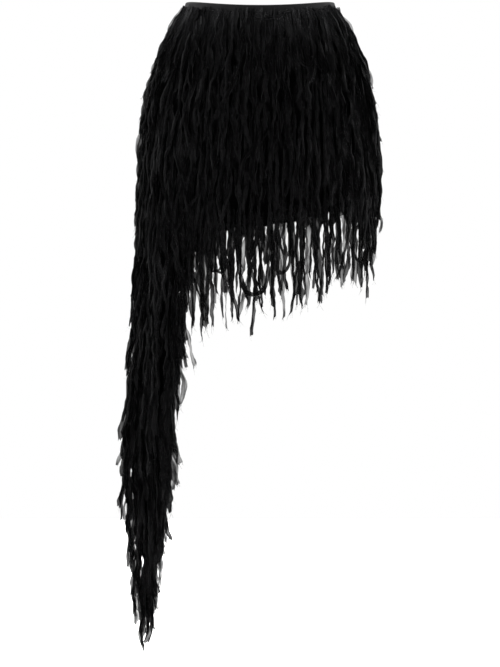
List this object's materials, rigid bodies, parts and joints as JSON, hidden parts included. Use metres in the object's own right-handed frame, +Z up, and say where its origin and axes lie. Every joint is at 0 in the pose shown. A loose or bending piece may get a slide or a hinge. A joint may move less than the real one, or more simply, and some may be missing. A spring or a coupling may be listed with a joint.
{
  "type": "fringe mini skirt",
  "caption": "Asymmetric mini skirt in its hollow worn form: slim waistband, cloth panels and hanging fringe all over, short on one side and drawn out into a long narrow train on the other.",
  "frame": {"origin": "centre of the waist opening, level with the waistband's top edge at the side seams", "axes": "+Z up the body, -Y the front, +X the short side and -X the long side with the train"},
  "size_m": [0.4169, 0.2873, 1.0517],
  "materials": {
    "band_cloth": "smooth black crepe band, matt with a faint sheen on its top edge",
    "panel_cloth": "fine black woven ground cloth, matt",
    "fringe_cloth": "raw-edged black chiffon strips, crumpled and rolled, sheer where a single layer lies open"
  },
  "bodies": {
    "root": {"waistband": "band_cloth", "front_panel": "panel_cloth", "back_panel": "panel_cloth", "fringe_front_1": "fringe_cloth", "fringe_front_2": "fringe_cloth", "fringe_front_3": "fringe_cloth", "fringe_front_4": "fringe_cloth", "fringe_front_5": "fringe_cloth", "fringe_front_6": "fringe_cloth", "fringe_front_7": "fringe_cloth", "fringe_back_1": "fringe_cloth", "fringe_back_2": "fringe_cloth", "fringe_back_3": "fringe_cloth", "fringe_back_4": "fringe_cloth", "fringe_back_5": "fringe_cloth", "fringe_back_6": "fringe_cloth", "fringe_back_7": "fringe_cloth", "fringe_train_1": "fringe_cloth", "fringe_train_2": "fringe_cloth", "fringe_train_3": "fringe_cloth", "fringe_train_4": "fringe_cloth", "fringe_train_5": "fringe_cloth", "fringe_train_6": "fringe_cloth", "fringe_train_7": "fringe_cloth", "fringe_train_8": "fringe_cloth", "fringe_train_9": "fringe_cloth", "fringe_train_10": "fringe_cloth"}
  },
  "joints": []
}
